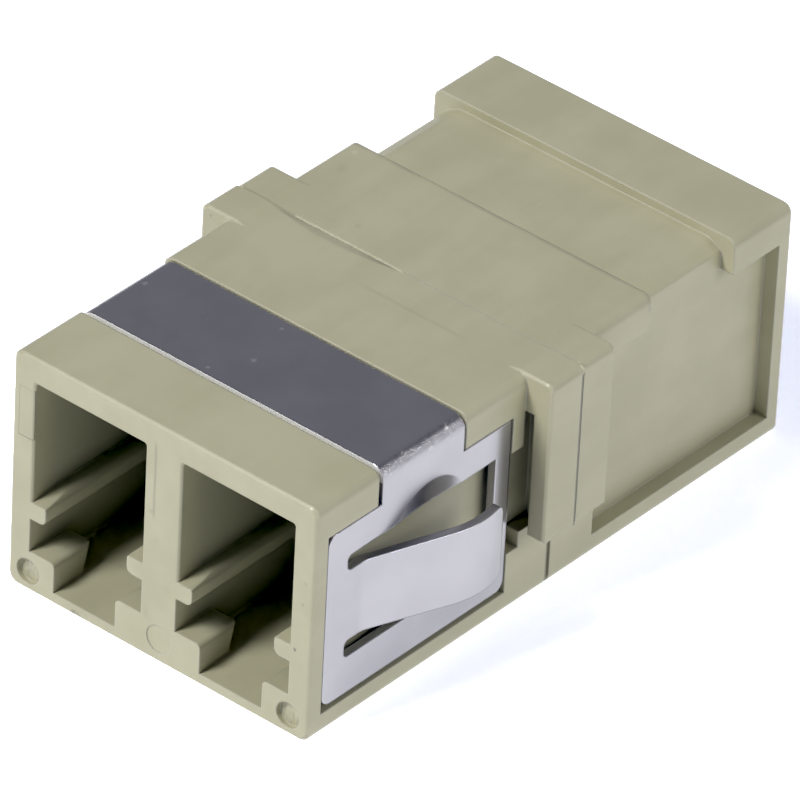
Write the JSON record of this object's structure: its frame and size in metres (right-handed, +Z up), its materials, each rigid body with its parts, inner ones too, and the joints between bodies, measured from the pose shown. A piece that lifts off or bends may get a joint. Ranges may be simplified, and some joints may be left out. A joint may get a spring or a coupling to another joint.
{
  "type": "duplex lc fibre adapter",
  "caption": "Duplex small form factor fibre adapter with keyed ports at both ends, a welded centre flange and a folded spring clip for a rectangular panel cut-out.",
  "frame": {"origin": "centre of the underside, below the welded seam", "axes": "+Y along the two channels, from the clip half's mouth to the other mouth; +X across the two ports; +Z up from the latch side of the ports to the clip's band"},
  "size_m": [0.0154, 0.0236, 0.0092],
  "materials": {
    "beige_plastic": "fine spark-eroded satin",
    "clip_steel": "bright rolled stainless spring steel",
    "zirconia": "polished white zirconia ceramic"
  },
  "bodies": {
    "root": {"front_housing": "beige_plastic", "rear_housing": "beige_plastic", "spring_clip": "clip_steel", "split_sleeve_left": "zirconia", "split_sleeve_right": "zirconia"}
  },
  "joints": []
}
